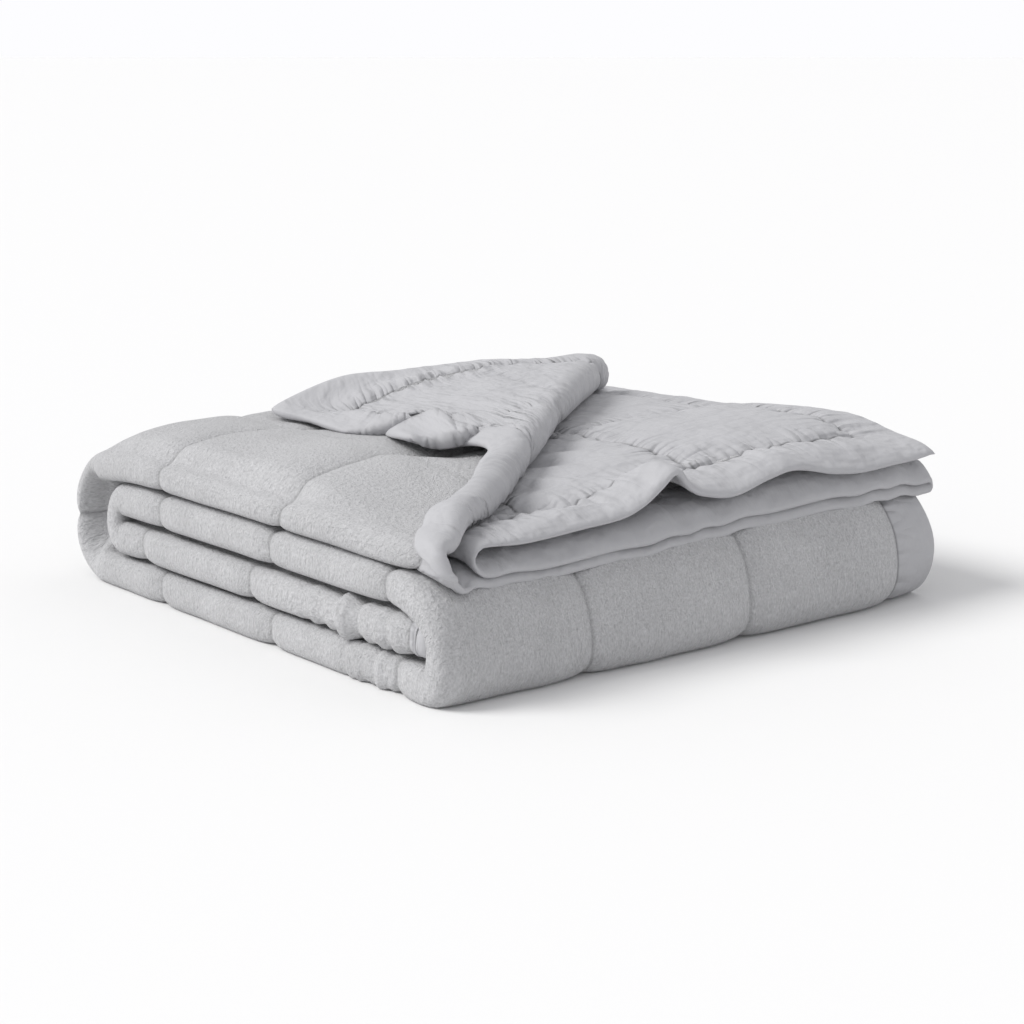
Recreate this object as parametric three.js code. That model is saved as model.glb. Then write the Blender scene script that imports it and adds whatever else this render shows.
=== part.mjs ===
// Quilted down alternative blanket, folded as on a shop shelf: twice across its width into
// a strip of four plies, then rolled flat along its length into four layers, with one
// corner of the top ply turned back to show the smooth side.
// Millimetres, +Z up. X runs along the layers, Y across the strip. The strip's closed fold
// is at -Y, its open edges are at +Y, the blunt near fold at +X and the roomy one at -X.

import * as THREE from 'three';

// Cloth
const PLY = 9.5; // height that one ply takes up in the pile
const PUFF = 3.9; // half thickness in the middle of a quilted box
const SEAM = 2.5; // half thickness at a seam and at the hems
const BORDER = 56; // plain border outside the first seam

// Folded pile
const LAYER = 4 * PLY;
const X_HEM = 296; // end hems of the top layer
const X_LEFT = -266; // where the top layer turns down on the left
const X_INNER = -232; // where the third layer turns down inside that
const X_NEAR = 280; // where the bottom layer turns up
const X_TONGUE = 252; // inner end of the roll
const Y_HEM = 300;
const Y_FOLD = -310;
const R_NEAR = 20; // lower bend of the near fold
const SIDE_LOWER = 17; // how far the side edges of the lower layers stand past the turned ply's
const SIDE_TOP = 34; // the same in the top layer
const GROUND_CUT = 1.6; // the pile's own weight flattens this much of the lowest ply

// Turned-back corner, in the cloth's own coordinates: u from the end hem, v from the side hem
const FOLD_U = 469; // where the fold line meets the side hem
const FOLD_V = 596; // where it meets the end hem, at the strip's closed fold
const CURL = 13; // bend radius of the turned cloth
const LYING = 10; // height of the turned cloth over the ply below, at its tip
const RAISED = 24; // the same in its middle

// Seen from above, the turned hem: for each place along the fold line, how much cloth lies
// past the line, and how high its hem is over the ply below.
const TURNED_HEM = [
  { along: 0, past: 0, high: 26 },
  { along: 257, past: 361, high: 10 },
  { along: 310, past: 305, high: 10 },
  { along: 368, past: 246, high: 11 },
  { along: 400, past: 196, high: 18 },
  { along: 428, past: 140, high: 25 },
  { along: 462, past: 98, high: 26 },
  { along: 505, past: 78, high: 26 },
  { along: 580, past: 70, high: 24 },
  { along: 660, past: 70, high: 20 },
  { along: 760, past: 60, high: 18 },
];
// Towards the closed fold the turned ply's end hem stands past the others'
const SPARE = [
  { v: 380, cloth: 0 },
  { v: 430, cloth: 6 },
  { v: 480, cloth: 16 },
  { v: 540, cloth: 24 },
  { v: 600, cloth: 14 },
  { v: 640, cloth: 8 },
  { v: 660, cloth: 0 },
];
// How far the uncovered ply's end hem rises and dips across the strip, with its one high wave
const HEM_WAVE = [
  { y: -310, rise: 0 },
  { y: -246, rise: -1 },
  { y: -199, rise: -4 },
  { y: -135, rise: -4 },
  { y: -91, rise: -4 },
  { y: -46, rise: 4 },
  { y: -27, rise: 12 },
  { y: 2, rise: 2 },
  { y: 46, rise: -7 },
  { y: 105, rise: -2 },
  { y: 144, rise: 4 },
  { y: 224, rise: -7 },
  { y: 329, rise: 0 },
];

// The pile swells towards its middle and back: share of DOME along y and along x
const DOME = 0.16;
const DOME_ACROSS = [
  { y: -311, share: 0 },
  { y: -200, share: 0.25 },
  { y: -100, share: 0.55 },
  { y: 0, share: 0.8 },
  { y: 100, share: 1 },
  { y: 200, share: 1 },
  { y: 300, share: 0.75 },
  { y: 340, share: 0.6 },
];
const DOME_ALONG = [
  { x: -350, share: 0.3 },
  { x: -250, share: 0.75 },
  { x: -100, share: 1 },
  { x: 150, share: 1 },
  { x: 250, share: 0.8 },
  { x: 320, share: 0.65 },
];

const Z_LAYER = [0.5, 1.5, 2.5, 3.5].map((k) => k * LAYER); // middle of each layer
const R_LEFT = (Z_LAYER[3] - Z_LAYER[0]) / 2;
const R_INNER = (Z_LAYER[2] - Z_LAYER[1]) / 2;
const R_SHOULDER = Z_LAYER[2] - Z_LAYER[0] - R_NEAR;
const X_SHOULDER = X_NEAR + R_NEAR - R_SHOULDER;
const R_OUTER = 1.5 * PLY; // bend of the outer fold of the strip
const R_NESTED = 0.5 * PLY; // bend of the folds inside it
const WIDTH = Y_HEM - Y_FOLD;

const line = (length) => ({ length, radius: 0, turn: 0 });
const bend = (radius, turn) => ({ length: radius * Math.abs(turn), radius, turn });

// The roll, seen from the front: distance u along the cloth to x and z
const ROLL = {
  start: [X_HEM, Z_LAYER[3]],
  pieces: [
    line(X_HEM - X_LEFT),
    bend(R_LEFT, Math.PI),
    line(X_NEAR - X_LEFT),
    bend(R_NEAR, Math.PI / 2),
    bend(R_SHOULDER, Math.PI / 2),
    line(X_SHOULDER - X_INNER),
    bend(R_INNER, Math.PI),
    line(X_TONGUE - X_INNER),
  ],
};

// The strip's cross-section: distance v across the cloth to y and height in the layer
const STRIP = {
  start: [Y_HEM, R_OUTER],
  pieces: [
    line(WIDTH - R_OUTER),
    bend(R_OUTER, Math.PI),
    line(WIDTH - R_OUTER - R_NESTED),
    bend(R_NESTED, Math.PI),
    line(WIDTH - R_OUTER - R_NESTED),
    bend(R_NESTED, -Math.PI),
    line(WIDTH - R_OUTER),
  ],
};

// A point of a path and the direction that faces the plush side there
function walk(path, distance) {
  let [a, b] = path.start;
  let heading = Math.PI;
  let begin = 0;
  for (const [i, piece] of path.pieces.entries()) {
    const last = i === path.pieces.length - 1;
    const k = distance - begin;
    const inside = k < piece.length || last;
    const step = inside ? k : piece.length;
    const sign = Math.sign(piece.turn);
    const angle = piece.radius ? heading + (sign * step) / piece.radius : heading;
    if (piece.radius) {
      a += sign * piece.radius * (Math.sin(angle) - Math.sin(heading));
      b += sign * piece.radius * (Math.cos(heading) - Math.cos(angle));
    } else {
      a += step * Math.cos(heading);
      b += step * Math.sin(heading);
    }
    if (inside) return [a, b, Math.sin(angle), -Math.cos(angle)];
    heading = angle;
    begin += piece.length;
  }
  return null;
}

// Distances at which the pieces of a path begin, and its end
function joints(path) {
  const at = [0];
  for (const piece of path.pieces) at.push(at.at(-1) + piece.length);
  return at;
}

function smooth(from, to, x) {
  const t = THREE.MathUtils.clamp((x - from) / (to - from), 0, 1);
  return t * t * (3 - 2 * t);
}

// Smooth curve through one column of a table
function curve(rows, key, column, x) {
  const n = rows.length;
  const at = THREE.MathUtils.clamp(x, rows[0][key], rows[n - 1][key]);
  let i = 0;
  while (i < n - 2 && rows[i + 1][key] <= at) i += 1;
  const slope = (k) => {
    const low = rows[Math.max(k - 1, 0)];
    const high = rows[Math.min(k + 1, n - 1)];
    return (high[column] - low[column]) / (high[key] - low[key]);
  };
  const span = rows[i + 1][key] - rows[i][key];
  const t = (at - rows[i][key]) / span;
  const s = 1 - t;
  const ends = s * s * (1 + 2 * t) * rows[i][column] + t * t * (3 - 2 * t) * rows[i + 1][column];
  return ends + span * (s * s * t * slope(i) - t * t * s * slope(i + 1));
}

const ROLL_AT = joints(ROLL);
const STRIP_AT = joints(STRIP);
const LONG = ROLL_AT.at(-1);
const WIDE = STRIP_AT.at(-1);
const HALF_WIDE = STRIP_AT[3];

// Where the cloth lies when only folded and rolled, raised by `high` off the plush side
function pile(u, v, high) {
  const [cx, cz, nx, nz] = walk(ROLL, u);
  const [ys, ts, my, mt] = walk(STRIP, v);
  const topLayer = 1 - smooth(430, 640, u);
  const tongue = smooth(LONG - 60, LONG, u);
  const t = (ts + high * mt) * (1 - 0.14 * tongue);
  let y = ys + high * my;
  const x = cx + t * nx;
  let z = cz + t * nz;

  const covered = 1 - smooth(R_NESTED, R_OUTER, t) * topLayer;
  const reach = SIDE_LOWER + (SIDE_TOP - SIDE_LOWER) * topLayer;
  y += covered * reach * smooth(60, Y_HEM, y);
  const nearEnd = topLayer * Math.exp(-((Math.max(u, 0) / 90) ** 2));
  const drawnIn = v > HALF_WIDE ? 34 : 8;
  y += nearEnd * drawnIn * (1 - smooth(Y_FOLD, Y_FOLD + 110, y));

  // the top layer rides over the shoulder of the near fold
  const outer = R_SHOULDER + LAYER / 2;
  const past = Math.max(x - X_SHOULDER, 0);
  const drop = Math.sqrt(outer ** 2 - past ** 2) - outer;
  const shoulder = topLayer * (drop + 1.5 * smooth(0, 40, past));
  const upper = smooth(-R_NESTED, R_NESTED, t);
  z += shoulder * (1 - 0.55 * upper);

  const swell = curve(DOME_ALONG, 'x', 'share', x) * curve(DOME_ACROSS, 'y', 'share', y);
  z *= 1 + DOME * swell;
  const open = topLayer * Math.exp(-(((x - 150) / 120) ** 2)) * smooth(-200, 270, y);
  z += 14 * open * smooth(-R_OUTER, R_NESTED, t);

  const rise = curve(HEM_WAVE, 'y', 'rise', y);
  z += topLayer * upper * rise * Math.exp(-((Math.max(u, 0) / (rise > 0 ? 55 : 24)) ** 2));
  return new THREE.Vector3(x, y, z);
}

const LINE = Math.hypot(FOLD_U, FOLD_V);
const LINE_U = FOLD_V / LINE;
const LINE_V = FOLD_U / LINE;
const LINE_AT = FOLD_U * LINE_U; // from the cloth's corner to the fold line
const CORNER_ALONG = FOLD_U * LINE_V;

// Cloth that goes `past` a fold line by that much: how far beyond the line, and how high
function curl(past, radius, lying) {
  const angle = THREE.MathUtils.clamp(past / radius, 0, Math.PI);
  const flat = Math.max(past - Math.PI * radius, 0);
  const settle = 1 - Math.exp(-((flat / 50) ** 2));
  return [
    radius * Math.sin(angle) - flat,
    radius * (1 - Math.cos(angle)) + (lying - 2 * radius) * settle,
  ];
}

// How much flat cloth there is past the fold line, at a place along it
function clothPast(along) {
  return along < CORNER_ALONG
    ? (along / CORNER_ALONG) * LINE_AT
    : ((LINE - along) / (LINE - CORNER_ALONG)) * LINE_AT;
}

// The turned corner: places of the flat cloth to places on the pile and a height over it
function turnCorner(u, v) {
  const spare = curve(SPARE, 'v', 'cloth', v) * THREE.MathUtils.clamp(1 - u / 90, 0, 1) ** 2;
  const flat = LINE_AT - u * LINE_U - v * LINE_V + spare;
  const along = (FOLD_U - u) * LINE_V + v * LINE_U;
  if (flat <= 0 || v > FOLD_V + 100) return [u, v, 0];
  // beyond the roll the cloth is gathered, or drawn out, to the hem that shows
  const roll = CURL * 2.4;
  const whole = Math.max(clothPast(along), 70);
  const shown = Math.max(curve(TURNED_HEM, 'along', 'past', along), 70);
  const past = flat < roll ? flat : roll + ((flat - roll) * (shown - roll)) / (whole - roll);
  const out = THREE.MathUtils.clamp(flat / whole, 0, 1) ** 2;
  const middle = LYING + (RAISED - LYING) * smooth(20, 300, Math.hypot(u, v));
  const hemHigh = along < CORNER_ALONG ? middle : curve(TURNED_HEM, 'along', 'high', along);
  const [across, high] = curl(past, CURL, middle * (1 - out) + hemHigh * out);
  const lineU = FOLD_U - along * LINE_V;
  const lineV = along * LINE_U;
  return [lineU - across * LINE_U, lineV - across * LINE_V, high];
}

function place(u, v) {
  const [pu, pv, high] = turnCorner(u, v);
  return pile(pu, pv, high);
}

// Seams of the quilting
const BOXES = 12;
const seamsAcross = [];
for (let i = 0; i <= BOXES; i += 1) {
  seamsAcross.push(BORDER + ((WIDE - 2 * BORDER) * i) / BOXES);
}
const L1 = ROLL_AT[2];
const L3 = ROLL_AT[5];
const L2 = ROLL_AT[7];
const SEAM_X = [-147, 53, 250]; // the photo's seams lie over each other in layers 1, 3 and 4
const seamsAlong = [
  BORDER,
  X_HEM - SEAM_X[1],
  X_HEM - SEAM_X[0],
  ROLL_AT[1] + 90,
  ...SEAM_X.map((x) => L1 + x - X_LEFT),
  ...SEAM_X.toReversed().map((x) => L3 + X_SHOULDER - Math.min(x, X_SHOULDER - 8)),
  L2 + 50,
  L2 + 250,
  LONG - BORDER,
];

// Stations: the given ones, and enough between them that no step is over `step(at)`
function stations(fixed, step) {
  const sorted = [...new Set(fixed.map((x) => Math.round(x * 100) / 100))].sort((a, b) => a - b);
  const kept = sorted.filter((x, i) => i === 0 || x - sorted[i - 1] > 3);
  const out = [kept[0]];
  for (let i = 1; i < kept.length; i += 1) {
    const span = kept[i] - kept[i - 1];
    const count = Math.max(1, Math.round(span / step((kept[i] + kept[i - 1]) / 2)));
    for (let k = 1; k <= count; k += 1) out.push(kept[i - 1] + (span * k) / count);
  }
  return out;
}

function pieceOf(at, x) {
  let i = 0;
  while (i < at.length - 2 && at[i + 1] <= x) i += 1;
  return i;
}

// In the turned corner the steps are even shares of the fold line, so that it is a row of edges
const SHARES = 18;
const stepsAlong = [FOLD_U / SHARES, 30, 140, 10.5, 22, 140, 15, 140];
const stepsAcross = [FOLD_V / SHARES, 11.2, 100, 5, 100, 5, 54];
const uStations = stations(
  [...ROLL_AT, FOLD_U, ...seamsAlong.filter((u) => u > FOLD_U)],
  (u) => stepsAlong[pieceOf(ROLL_AT, u)],
);
const vStations = stations(STRIP_AT, (v) => stepsAcross[pieceOf(STRIP_AT, v)]);

// Half thickness of the cloth: full between seams, pinched at them
function halfThickness(u, v) {
  const nearest = (seams, x) => Math.min(...seams.map((s) => Math.abs(s - x)));
  const off = Math.min(nearest(seamsAlong, u), nearest(seamsAcross, v));
  const inBorder = Math.min(u, v, LONG - u, WIDE - v) < BORDER;
  return SEAM + (PUFF - SEAM) * smooth(0, 30, off) * (inBorder ? 0.3 : 1);
}

function blanketGeometry() {
  const step = 1;
  const rows = uStations.length;
  const columns = vStations.length;
  const plush = [];
  const smoothSide = [];
  const onGround = (u, v) => {
    const along = u > L1 - 1 && u < ROLL_AT[3] + 1;
    return along && v > 1 && v < STRIP_AT[1] + 1;
  };
  for (const u of uStations) {
    for (const v of vStations) {
      const here = place(u, v);
      const du = place(Math.min(u + step, LONG), v).sub(place(Math.max(u - step, 0), v));
      const dv = place(u, Math.min(v + step, WIDE)).sub(place(u, Math.max(v - step, 0)));
      const normal = du.cross(dv).normalize();
      const half = halfThickness(u, v);
      const out = here.clone().addScaledVector(normal, half);
      if (onGround(u, v)) out.z = GROUND_CUT;
      plush.push(out);
      smoothSide.push(here.clone().addScaledVector(normal, -half));
    }
  }
  const points = [...plush, ...smoothSide];
  const box = new THREE.Box3().setFromPoints(points);
  const centre = box.getCenter(new THREE.Vector3());
  const positions = [];
  for (const p of points) positions.push(p.x - centre.x, p.y - centre.y, p.z - GROUND_CUT);

  const triangles = [];
  const at = (i, j, side) => side * rows * columns + i * columns + j;
  const quad = (a, b, c, d) => triangles.push(a, b, c, a, c, d);
  // each cell is cut along the direction of the fold line
  for (let i = 0; i + 1 < rows; i += 1) {
    for (let j = 0; j + 1 < columns; j += 1) {
      quad(at(i, j + 1, 0), at(i, j, 0), at(i + 1, j, 0), at(i + 1, j + 1, 0));
      quad(at(i + 1, j, 1), at(i, j, 1), at(i, j + 1, 1), at(i + 1, j + 1, 1));
    }
  }
  // the hems close the two faces along the four edges
  for (let i = 0; i + 1 < rows; i += 1) {
    quad(at(i, 0, 0), at(i, 0, 1), at(i + 1, 0, 1), at(i + 1, 0, 0));
    const j = columns - 1;
    quad(at(i + 1, j, 0), at(i + 1, j, 1), at(i, j, 1), at(i, j, 0));
  }
  for (let j = 0; j + 1 < columns; j += 1) {
    quad(at(0, j + 1, 0), at(0, j + 1, 1), at(0, j, 1), at(0, j, 0));
    const i = rows - 1;
    quad(at(i, j, 0), at(i, j, 1), at(i, j + 1, 1), at(i, j + 1, 0));
  }
  const geometry = new THREE.BufferGeometry();
  geometry.setAttribute('position', new THREE.Float32BufferAttribute(positions, 3));
  geometry.setIndex(triangles);
  geometry.computeVertexNormals();
  return geometry;
}

const greyCloth = new THREE.MeshStandardMaterial({ color: 0xb4b4b8, roughness: 0.9, metalness: 0 });
const blanket = new THREE.Mesh(blanketGeometry(), greyCloth);
blanket.name = 'blanket';

const folded = new THREE.Group();
folded.add(blanket);

export default folded;
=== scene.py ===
# %% [markdown]
# # A folded quilted blanket
#
# This notebook models one object: a quilted down alternative blanket, folded as for a shelf.
# It has a short plush pile on one side and smooth microfibre on the other. It is folded
# twice across its width into a strip of four plies, then rolled flat along its length into
# four layers. One corner of the top ply is turned back and shows the microfibre.
#
# Folded cloth could be simulated, sculpted or worked out. The folds of this blanket are few
# and known, so they are worked out, which keeps each of them where it is on the real one.
# The whole script is one map. It takes a place (u, v) on the flat cloth, in millimetres from
# its corner, to where that place lies in the folded pile. Everything else, such as puffs,
# seams, creases and colours, is added in the flat cloth's coordinates.

# %% Tools, and the frame that all models of this object share
import math

import bpy
import numpy as np
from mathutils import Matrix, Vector


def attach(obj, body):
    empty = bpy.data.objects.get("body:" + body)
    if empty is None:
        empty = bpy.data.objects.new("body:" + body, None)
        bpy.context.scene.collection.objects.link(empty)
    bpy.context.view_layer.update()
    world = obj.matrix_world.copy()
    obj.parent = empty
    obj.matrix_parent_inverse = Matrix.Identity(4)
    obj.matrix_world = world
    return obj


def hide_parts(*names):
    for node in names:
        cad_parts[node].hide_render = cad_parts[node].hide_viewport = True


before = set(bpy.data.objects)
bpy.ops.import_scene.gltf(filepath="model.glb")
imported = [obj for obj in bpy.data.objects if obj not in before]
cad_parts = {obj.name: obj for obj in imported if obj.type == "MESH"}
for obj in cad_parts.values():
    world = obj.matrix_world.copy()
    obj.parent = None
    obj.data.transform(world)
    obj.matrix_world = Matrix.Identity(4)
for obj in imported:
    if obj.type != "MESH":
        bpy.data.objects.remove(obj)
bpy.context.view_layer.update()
MM = 0.001

# %% [markdown]
# ## Sizes
#
# The real pile is about 660 mm long and 650 mm deep. Its plies are 9.5 mm apart: the filled
# cloth and a little air. Each fold could have sizes of its own, but then one change would
# open gaps beside it. So a few driving sizes are named here, and the rest follows from them.
# X runs along the rolled layers and Y across the strip, whose closed fold is at -Y.

# %% Sizes of the cloth in millimetres
PLY = 9.5  # height that one ply takes up in the pile
LAYER = 4 * PLY
PUFF = 3.9  # half thickness in the middle of a quilted box
SEAM = 2.4  # half thickness at a seam
HEM = 0.8  # half thickness at the hem's edge
BORDER = 56  # plain border outside the first seam
BOXES = 12  # quilted boxes across the cloth
print("a layer of four plies is", LAYER, "mm high")

# %% Sizes of the folded pile in millimetres
X_HEM = 296  # end hems of the top layer
X_LEFT = -266  # where the top layer turns down on the left
X_INNER = -232  # where the third layer turns down inside that
X_NEAR = 280  # where the bottom layer turns up
X_TONGUE = 252  # inner end of the roll
Y_HEM = 300  # side hems
Y_FOLD = -310  # closed fold
R_LEFT, R_INNER = 1.5 * LAYER, 0.5 * LAYER
R_NEAR = 20  # lower bend of the near fold
R_SHOULDER = 2 * LAYER - R_NEAR
X_SHOULDER = X_NEAR + R_NEAR - R_SHOULDER
R_OUTER, R_NESTED = 1.5 * PLY, 0.5 * PLY  # bends of the strip's folds
SIDE_LOWER, SIDE_TOP = 17, 34  # how far the lower side hems stand past the turned ply's
ORIGIN = np.array([-10.8, 11.48, 1.6])  # the shared frame's origin, in the fold's own millimetres
print("the outer bend's radius is", R_LEFT, "mm and the near fold's shoulder's", R_SHOULDER, "mm")

# %% [markdown]
# ## Two paths
#
# The real blanket was folded across first and rolled afterwards. Seen from the front, the
# roll is one path of straight lines and round bends. Seen from the end, the strip of four
# plies is another. Curve objects could show both, but cloth has to keep its length, so each
# path is a list of pieces (length, radius, turn). Walking a path gives a point and the
# direction in which the plush side faces.

# %% The roll and the strip as paths
def line(length):
    return (length, 0, 0)


def bend(radius, turn):
    return (radius * abs(turn), radius, turn)


ROLL = {
    "start": (X_HEM, 3.5 * LAYER),
    "pieces": [
        line(X_HEM - X_LEFT),
        bend(R_LEFT, math.pi),
        line(X_NEAR - X_LEFT),
        bend(R_NEAR, math.pi / 2),
        bend(R_SHOULDER, math.pi / 2),
        line(X_SHOULDER - X_INNER),
        bend(R_INNER, math.pi),
        line(X_TONGUE - X_INNER),
    ],
}
PLY_LONG = Y_HEM - Y_FOLD - R_OUTER
STRIP = {
    "start": (Y_HEM, R_OUTER),
    "pieces": [
        line(PLY_LONG),
        bend(R_OUTER, math.pi),
        line(PLY_LONG - R_NESTED),
        bend(R_NESTED, math.pi),
        line(PLY_LONG - R_NESTED),
        bend(R_NESTED, -math.pi),
        line(PLY_LONG),
    ],
}
print("pieces in the roll's path:", len(ROLL["pieces"]), "and in the strip's:", len(STRIP["pieces"]))


# %% Walking a path
def walk(path, distance):
    """Two coordinates of the point at each distance, and the plush side's direction."""
    a, b = path["start"]
    heading, begin = math.pi, 0.0
    out = np.zeros((4,) + distance.shape)
    for i, (length, radius, turn) in enumerate(path["pieces"]):
        here = distance >= begin if i else np.ones(distance.shape, bool)
        step = distance[here] - begin
        sign = math.copysign(1, turn)
        angle = heading + (sign * step / radius if radius else 0 * step)
        if radius:
            out[0][here] = a + sign * radius * (np.sin(angle) - math.sin(heading))
            out[1][here] = b + sign * radius * (math.cos(heading) - np.cos(angle))
            a += sign * radius * (math.sin(heading + turn) - math.sin(heading))
            b += sign * radius * (math.cos(heading) - math.cos(heading + turn))
        else:
            out[0][here] = a + step * math.cos(heading)
            out[1][here] = b + step * math.sin(heading)
            a += length * math.cos(heading)
            b += length * math.sin(heading)
        out[2][here], out[3][here] = np.sin(angle), -np.cos(angle)
        heading += turn
        begin += length
    return out


def joints(path):
    """Distances at which the pieces begin, and the path's end."""
    return np.cumsum([0.0] + [piece[0] for piece in path["pieces"]])


ROLL_AT, STRIP_AT = joints(ROLL), joints(STRIP)
LONG, WIDE = ROLL_AT[-1], STRIP_AT[-1]
HALF_WIDE = STRIP_AT[3]  # beyond it lie the two nested plies, between the outer two
print(f"cloth: {LONG:.0f} x {WIDE:.0f} mm, {LONG * WIDE * 1e-6:.2f} square metres")

# %% [markdown]
# ## Soft changes
#
# Real cloth has no sharp change in its shape. A brush or a lattice would soften the pile by
# eye. Here each change is a formula instead, so it follows when a size is changed: a smooth
# step, a window that opens and closes, a bell, or a smooth curve through a short table.

# %% Helpers for soft changes
def smooth(start, end, x):
    """0 up to the start, 1 from the end, and a soft step between."""
    t = np.clip((x - start) / (end - start), 0, 1)
    return t * t * (3 - 2 * t)


def fading(start, end, x):
    """1 up to the start, 0 from the end."""
    return 1 - smooth(start, end, x)


def window(start, full, waning, end, x):
    """1 between full and waning, and 0 outside start and end."""
    return smooth(start, full, x) * fading(waning, end, x)


def bell(x, width):
    return np.exp(-((x / width) ** 2))


def curve(places, values, x):
    """Smooth curve through the values at the given places."""
    at, value = np.asarray(places, float), np.asarray(values, float)
    slope = np.gradient(value, at)
    slope[1:-1] = (value[2:] - value[:-2]) / (at[2:] - at[:-2])
    x = np.clip(x, at[0], at[-1])
    i = np.clip(np.searchsorted(at, x, side="right") - 1, 0, len(at) - 2)
    span = at[i + 1] - at[i]
    t = (x - at[i]) / span
    s = 1 - t
    ends = s * s * (1 + 2 * t) * value[i] + t * t * (3 - 2 * t) * value[i + 1]
    return ends + span * (s * s * t * slope[i] - t * t * s * slope[i + 1])


print("half way up a soft step:", smooth(0, 10, 5.0))

# %% [markdown]
# ## The neat pile
#
# The two walks together make a neat pile. The strip's path says how the plies lie over each
# other, and the roll's path carries them along and round. On the real pile the plies press on
# the closed fold, which is flatter in front than a half circle. It could be drawn as a curve,
# but a power below one squares the half circle and leaves the path its length.

# %% The neat pile from the two walks
FOLD_POWER = 0.62
TOP_ENDS = (430, 640)  # along the roll, where the top layer's own forms fade out
INNER_LAST = 60  # the roll's last stretch, which is pressed thinner
INNER_PRESSED = 0.14


def neat_pile(u, v, high):
    """x, y and z of a place raised by `high` off its plush side, and its place in the layer."""
    roll_x, roll_z, out_x, out_z = walk(ROLL, u)
    y, t, side_y, side_t = walk(STRIP, v)
    folded = (v > STRIP_AT[1]) & (v < STRIP_AT[2])
    sine = np.clip((Y_FOLD + R_OUTER - y) / R_OUTER, 0, 1)
    y = np.where(folded, Y_FOLD + R_OUTER - R_OUTER * sine**FOLD_POWER, y)
    t = np.where(folded, np.sign(t) * R_OUTER * (np.abs(t) / R_OUTER) ** FOLD_POWER, t)
    t = (t + high * side_t) * (1 - INNER_PRESSED * smooth(LONG - INNER_LAST, LONG, u))
    return roll_x + t * out_x, y + high * side_y, roll_z + t * out_z, t


cloth_corner = neat_pile(np.zeros(1), np.zeros(1), 0)
print("before it is turned, the cloth's corner lies at", [round(float(c[0])) for c in cloth_corner[:3]])

# %% [markdown]
# ## Hems and folds that moved
#
# On the real pile the lower side hems stand out past the top one. The closed folds are drawn
# in at the near end and inside the outer bend, and the roll's inner end reaches into the near
# bend. Each ply could be moved as an object of its own, but it is all one cloth. So each of
# these is a soft shift of one stretch of the map.

# %% Shifts of the hems and folds
SIDE_FROM = 60  # y from which the side hems stand out
END_REACH = 90  # how far along the roll the near end's forms reach
DRAWN_NESTED, DRAWN_OUTER = 50, 8  # how far the closed folds are drawn in at the near end
DRAWN_WIDE = 110  # and over what width
NESTED_BULGE = 9  # the nested fold's middle stands out from that
IN_BEND = (570, 625, 690, 738)  # stretch of the roll inside the outer bend
BEND_DRAWN, BEND_DRAWN_Y = 30, (-290, -120)  # the closed fold drawn back there
INNER_MOVED, INNER_MOVES = 70, (LONG - 210, LONG - 62)  # the roll's inner end reaches out
INNER_SHORTENED = 36  # its last stretch lies in folds


def move_hems(u, v, x, y, t):
    """x and y of a place after the hems and folds have moved."""
    top = fading(*TOP_ENDS, u)
    covered = 1 - smooth(R_NESTED, R_OUTER, t) * top
    stands_out = SIDE_LOWER + (SIDE_TOP - SIDE_LOWER) * top
    y = y + covered * stands_out * smooth(SIDE_FROM, Y_HEM, y)
    near_end = top * bell(np.maximum(u, 0), END_REACH)
    drawn_in = np.where(v > HALF_WIDE, DRAWN_NESTED, DRAWN_OUTER)
    y = y + near_end * drawn_in * fading(Y_FOLD, Y_FOLD + DRAWN_WIDE, y)
    nested_fold = (v > HALF_WIDE) & (np.abs(t) < R_NESTED)
    y = y - np.where(nested_fold, NESTED_BULGE * near_end * (1 - (t / R_NESTED) ** 2), 0)
    in_bend = BEND_DRAWN * window(*IN_BEND, u) * smooth(R_OUTER, -R_NESTED, t)
    y = y + in_bend * fading(*BEND_DRAWN_Y, y)
    x = x + INNER_MOVED * smooth(*INNER_MOVES, u)
    return x - INNER_SHORTENED * smooth(LONG - INNER_LAST, LONG, u), y


print("the lower side hems stand out by up to", SIDE_TOP, "mm")

# %% [markdown]
# ## Sinking and swelling
#
# Over the near fold's round shoulder the real top layer sinks, but its closed fold is stiff
# and holds it up. The whole pile swells towards its middle and back, and the plush in front
# of the turned corner swells by itself. These heights could be sculpted. Short tables of
# shares along and across the pile give them with few numbers, and one can be changed alone.

# %% Heights of the top layer
SHOULDER_SHARE = 0.7  # share of the shoulder's radius over which the layer follows it
SHOULDER_AIR, AIR_WITHIN = 1.5, 40  # air under the layer, and the way over which it comes
FOLD_HELD, FOLD_HELD_Y = 0.75, (-302, -272)  # share by which the stiff fold holds it up
UPPER_HELD = 0.55  # the upper plies sink less than the lower ones

DOME = 0.16  # greatest swell as a share of the height
DOME_Y = (-311, -200, -100, 0, 100, 200, 300, 340)
DOME_Y_SHARE = (0, 0, 0.12, 0.55, 0.95, 1, 0.75, 0.6)
DOME_X = (-350, -250, -100, 150, 250, 320)
DOME_X_SHARE = (0, 0.6, 1, 1, 0.8, 0.65)

LOOSE, LOOSE_X, LOOSE_WIDE, LOOSE_Y = 14, 150, 120, (-200, 270)  # loose plies under the corner

CROWN_Y = (-330, -300, -292, -283, -272, -257, -229, -170, -110, -60, 0)
CROWN = (-4, -6, 1, 9, 12, 14, 16, 13, 4, 1, 0)
CROWN_X = (-350, -270, -147, -40, 53, 110, 160, 220)
CROWN_X_SHARE = (0.2, 0.5, 1, 1.15, 1.3, 0.8, 0.3, 0)
CROWN_ENDS = (540, 600)  # along the roll, where the crown fades out
print("the crown in front of the turned corner rises by", max(CROWN), "mm")


# %% The top layer sinks and the pile swells
def shoulder_drop(x):
    """How far the near fold's shoulder has fallen at x, and how far x is past its top."""
    outer = R_SHOULDER + LAYER / 2
    past = np.clip(x - X_SHOULDER, 0, SHOULDER_SHARE * outer)
    return np.sqrt(outer**2 - past**2) - outer, past


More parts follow.
